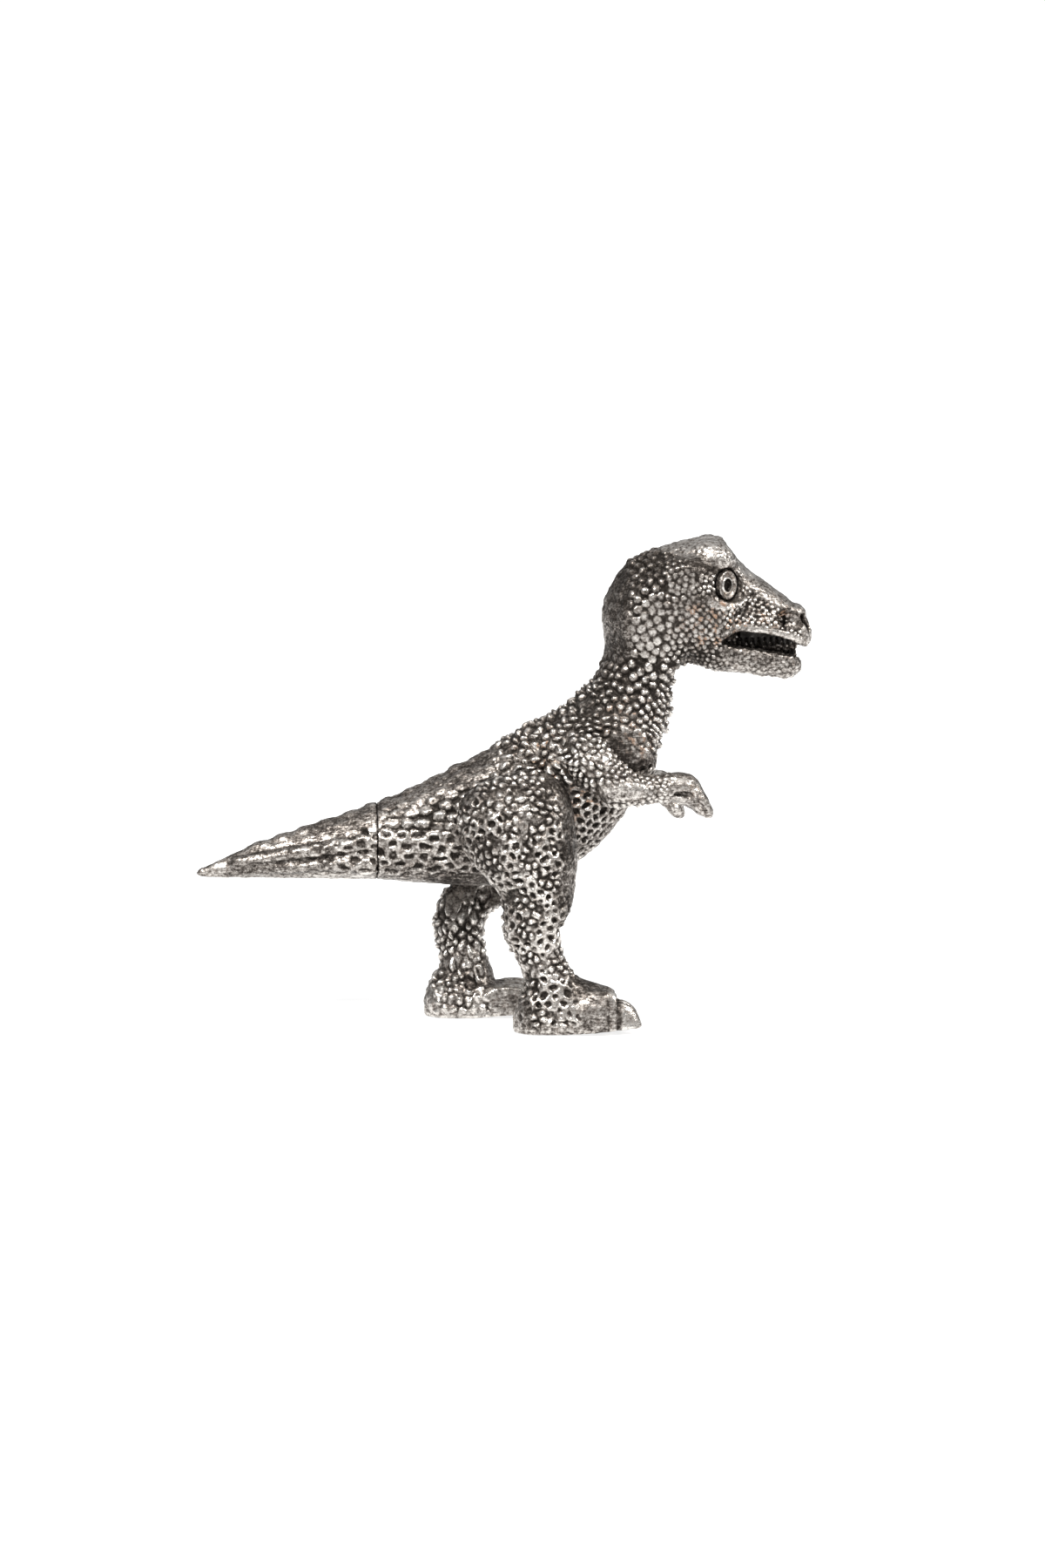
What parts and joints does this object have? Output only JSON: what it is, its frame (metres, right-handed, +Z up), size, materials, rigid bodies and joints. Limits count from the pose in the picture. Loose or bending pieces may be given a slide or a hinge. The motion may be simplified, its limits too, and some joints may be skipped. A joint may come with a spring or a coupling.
{
  "type": "dinosaur figurine",
  "caption": "Posable cast-metal figurine of a two-legged meat-eating dinosaur in antiqued silver, with hollow body castings, inset eyes and limbs on friction pivots.",
  "frame": {"origin": "on the ground, below the middle of the figurine's box", "axes": "+X forward towards the snout, +Y to the animal's left, +Z up"},
  "size_m": [0.2, 0.0628, 0.1596],
  "materials": {
    "antique_silver": "cast and hand-chased, polished on the high spots, dark grey-brown patina in the recesses",
    "eye_metal": "dished and brushed, with a dark drilled pupil",
    "blackened_metal": "oxidised nearly black, satin",
    "steel": "turned, plain",
    "bronze": "turned bearing bronze"
  },
  "bodies": {
    "trunk": {"body_right": "antique_silver", "body_left": "antique_silver", "tail": "antique_silver", "tail_pin": "steel", "tail_plug": "antique_silver", "eye_right": "eye_metal", "eye_left": "eye_metal", "teeth_upper": "blackened_metal", "teeth_lower": "blackened_metal", "body_dowels": "steel", "hip_bush_right": "bronze", "hip_bush_left": "bronze", "shoulder_bush_right": "bronze", "shoulder_bush_left": "bronze"},
    "leg_right": {"leg_right": "antique_silver", "hip_spindle_right": "steel", "hip_washer_right": "steel", "hip_nut_right": "steel"},
    "leg_left": {"leg_left": "antique_silver", "hip_spindle_left": "steel", "hip_washer_left": "steel", "hip_nut_left": "steel"},
    "arm_right": {"arm_right": "antique_silver", "shoulder_spindle_right": "steel", "shoulder_washer_right": "steel", "shoulder_nut_right": "steel"},
    "arm_left": {"arm_left": "antique_silver", "shoulder_spindle_left": "steel", "shoulder_washer_left": "steel", "shoulder_nut_left": "steel"}
  },
  "joints": [
    {"name": "hip_right_turn", "type": "hinge", "parent": "trunk", "child": "leg_right", "pos_m": [0.0055, -0.02, 0.0645], "axis": [0, -1, 0], "range_deg": [-20, 20]},
    {"name": "hip_left_turn", "type": "hinge", "parent": "trunk", "child": "leg_left", "pos_m": [0.0055, 0.02, 0.0645], "axis": [0, -1, 0], "range_deg": [-20, 20]},
    {"name": "shoulder_right_turn", "type": "hinge", "parent": "trunk", "child": "arm_right", "pos_m": [0.026, -0.02, 0.09], "axis": [0, -1, 0], "range_deg": [-25, 70]},
    {"name": "shoulder_left_turn", "type": "hinge", "parent": "trunk", "child": "arm_left", "pos_m": [0.026, 0.02, 0.09], "axis": [0, -1, 0], "range_deg": [-15, 80]}
  ]
}
